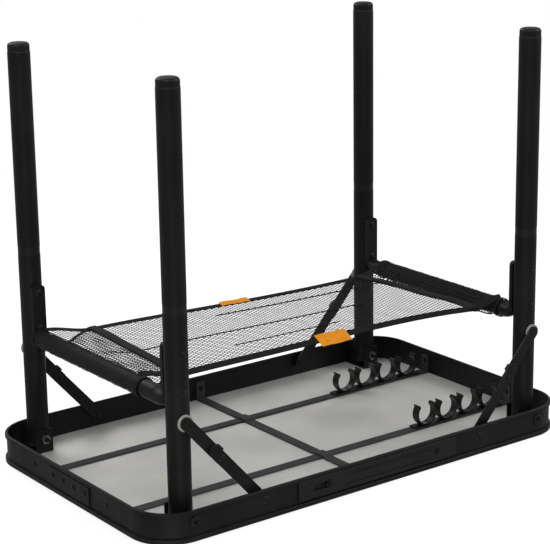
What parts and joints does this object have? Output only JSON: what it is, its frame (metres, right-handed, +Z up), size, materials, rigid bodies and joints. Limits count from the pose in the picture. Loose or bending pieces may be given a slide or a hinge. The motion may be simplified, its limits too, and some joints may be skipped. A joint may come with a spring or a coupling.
{
  "type": "folding table",
  "caption": "Small folding camp table with an edged metal top, two folding leg frames with strut braces, pull-off leg extensions and a mesh shelf",
  "frame": {"origin": "on the floor under the middle of the table top", "axes": "+X to the right along the length, +Y to the back, +Z up; the carry handle faces -Y"},
  "size_m": [0.6007, 0.3635, 0.492],
  "materials": {
    "aluminium_panel": "satin mill sheet",
    "black_coated_metal": "matt black powder coat",
    "grey_coated_steel": "dark grey powder coat",
    "black_plastic": "moulded, fine texture",
    "black_handle": "moulded, satin",
    "pale_nylon": "natural nylon",
    "zinc_steel": "zinc plated",
    "black_mesh": "knitted polyester net"
  },
  "bodies": {
    "top": {"table_top": "aluminium_panel", "edge_frame": "black_coated_metal", "splice_plate": "black_coated_metal", "frame_rivets": "black_coated_metal", "front_long_bar": "grey_coated_steel", "back_long_bar": "grey_coated_steel", "cross_bar": "grey_coated_steel", "front_clip_strip": "black_plastic", "back_clip_strip": "black_plastic", "clip_screws": "zinc_steel", "carry_handle": "black_handle", "handle_rivets": "black_coated_metal", "pivot_brackets": "black_coated_metal", "pivot_bolts": "black_coated_metal", "pivot_nuts": "zinc_steel", "pivot_spacers": "zinc_steel", "brace_rivets": "black_coated_metal", "shelf_mesh": "black_mesh"},
    "right_leg_frame": {"right_front_leg": "black_coated_metal", "right_back_leg": "black_coated_metal", "right_pivot_plugs": "black_plastic", "right_collars": "black_plastic", "right_cross_tube": "black_coated_metal", "right_cross_tube_rivets": "black_coated_metal", "right_sleeve": "black_mesh", "right_brace_pins": "black_coated_metal", "right_brace_washers": "pale_nylon"},
    "right_front_lower_brace": {"right_front_lower_link": "black_coated_metal", "right_front_outer_rivet": "black_coated_metal"},
    "right_front_upper_brace": {"right_front_upper_link": "black_coated_metal", "right_front_inner_rivet": "black_coated_metal"},
    "right_front_extension_pole": {"right_front_extension": "black_coated_metal", "right_front_foot": "black_plastic"},
    "right_back_lower_brace": {"right_back_lower_link": "black_coated_metal", "right_back_outer_rivet": "black_coated_metal"},
    "right_back_upper_brace": {"right_back_upper_link": "black_coated_metal", "right_back_inner_rivet": "black_coated_metal"},
    "right_back_extension_pole": {"right_back_extension": "black_coated_metal", "right_back_foot": "black_plastic"},
    "left_leg_frame": {"left_front_leg": "black_coated_metal", "left_back_leg": "black_coated_metal", "left_pivot_plugs": "black_plastic", "left_collars": "black_plastic", "left_cross_tube": "black_coated_metal", "left_cross_tube_rivets": "black_coated_metal", "left_sleeve": "black_mesh", "left_brace_pins": "black_coated_metal", "left_brace_washers": "pale_nylon"},
    "left_front_lower_brace": {"left_front_lower_link": "black_coated_metal", "left_front_outer_rivet": "black_coated_metal"},
    "left_front_upper_brace": {"left_front_upper_link": "black_coated_metal", "left_front_inner_rivet": "black_coated_metal"},
    "left_front_extension_pole": {"left_front_extension": "black_coated_metal", "left_front_foot": "black_plastic"},
    "left_back_lower_brace": {"left_back_lower_link": "black_coated_metal", "left_back_outer_rivet": "black_coated_metal"},
    "left_back_upper_brace": {"left_back_upper_link": "black_coated_metal", "left_back_inner_rivet": "black_coated_metal"},
    "left_back_extension_pole": {"left_back_extension": "black_coated_metal", "left_back_foot": "black_plastic"}
  },
  "joints": [
    {"name": "right_frame_fold", "type": "hinge", "parent": "top", "child": "right_leg_frame", "pos_m": [0.25, 0, 0.4705], "axis": [0, 1, 0], "range_deg": [0, 90], "deforming": ["shelf_mesh"]},
    {"name": "left_frame_fold", "type": "hinge", "parent": "top", "child": "left_leg_frame", "pos_m": [-0.25, 0, 0.4705], "axis": [0, -1, 0], "range_deg": [0, 90], "deforming": ["shelf_mesh"]},
    {"name": "right_front_lower_brace_swing", "type": "hinge", "parent": "top", "child": "right_front_lower_brace", "pos_m": [0.156, -0.17, 0.4705], "axis": [0, 1, 0], "range_deg": [0, 131.4]},
    {"name": "right_front_upper_brace_swing", "type": "hinge", "parent": "right_leg_frame", "child": "right_front_upper_brace", "pos_m": [0.25, -0.168, 0.3635], "axis": [0, -1, 0], "range_deg": [0, 138.8]},
    {"name": "right_front_extension_slide", "type": "slide", "parent": "right_leg_frame", "child": "right_front_extension_pole", "axis": [0, 0, -1], "range_m": [0, 0.36]},
    {"name": "right_back_lower_brace_swing", "type": "hinge", "parent": "top", "child": "right_back_lower_brace", "pos_m": [0.156, 0.17, 0.4705], "axis": [0, 1, 0], "range_deg": [0, 131.4]},
    {"name": "right_back_upper_brace_swing", "type": "hinge", "parent": "right_leg_frame", "child": "right_back_upper_brace", "pos_m": [0.25, 0.168, 0.3635], "axis": [0, -1, 0], "range_deg": [0, 138.8]},
    {"name": "right_back_extension_slide", "type": "slide", "parent": "right_leg_frame", "child": "right_back_extension_pole", "axis": [0, 0, -1], "range_m": [0, 0.36]},
    {"name": "left_front_lower_brace_swing", "type": "hinge", "parent": "top", "child": "left_front_lower_brace", "pos_m": [-0.156, -0.17, 0.4705], "axis": [0, -1, 0], "range_deg": [0, 131.4]},
    {"name": "left_front_upper_brace_swing", "type": "hinge", "parent": "left_leg_frame", "child": "left_front_upper_brace", "pos_m": [-0.25, -0.168, 0.3635], "axis": [0, 1, 0], "range_deg": [0, 138.8]},
    {"name": "left_front_extension_slide", "type": "slide", "parent": "left_leg_frame", "child": "left_front_extension_pole", "axis": [0, 0, -1], "range_m": [0, 0.36]},
    {"name": "left_back_lower_brace_swing", "type": "hinge", "parent": "top", "child": "left_back_lower_brace", "pos_m": [-0.156, 0.17, 0.4705], "axis": [0, -1, 0], "range_deg": [0, 131.4]},
    {"name": "left_back_upper_brace_swing", "type": "hinge", "parent": "left_leg_frame", "child": "left_back_upper_brace", "pos_m": [-0.25, 0.168, 0.3635], "axis": [0, 1, 0], "range_deg": [0, 138.8]},
    {"name": "left_back_extension_slide", "type": "slide", "parent": "left_leg_frame", "child": "left_back_extension_pole", "axis": [0, 0, -1], "range_m": [0, 0.36]}
  ],
  "couplings": [
    {"joint": "right_front_lower_brace_swing", "follows": "right_frame_fold", "ratio": 1.4589},
    {"joint": "right_front_upper_brace_swing", "follows": "right_frame_fold", "ratio": 1.5411},
    {"joint": "right_back_lower_brace_swing", "follows": "right_frame_fold", "ratio": 1.4589},
    {"joint": "right_back_upper_brace_swing", "follows": "right_frame_fold", "ratio": 1.5411},
    {"joint": "left_front_lower_brace_swing", "follows": "left_frame_fold", "ratio": 1.4589},
    {"joint": "left_front_upper_brace_swing", "follows": "left_frame_fold", "ratio": 1.5411},
    {"joint": "left_back_lower_brace_swing", "follows": "left_frame_fold", "ratio": 1.4589},
    {"joint": "left_back_upper_brace_swing", "follows": "left_frame_fold", "ratio": 1.5411}
  ]
}
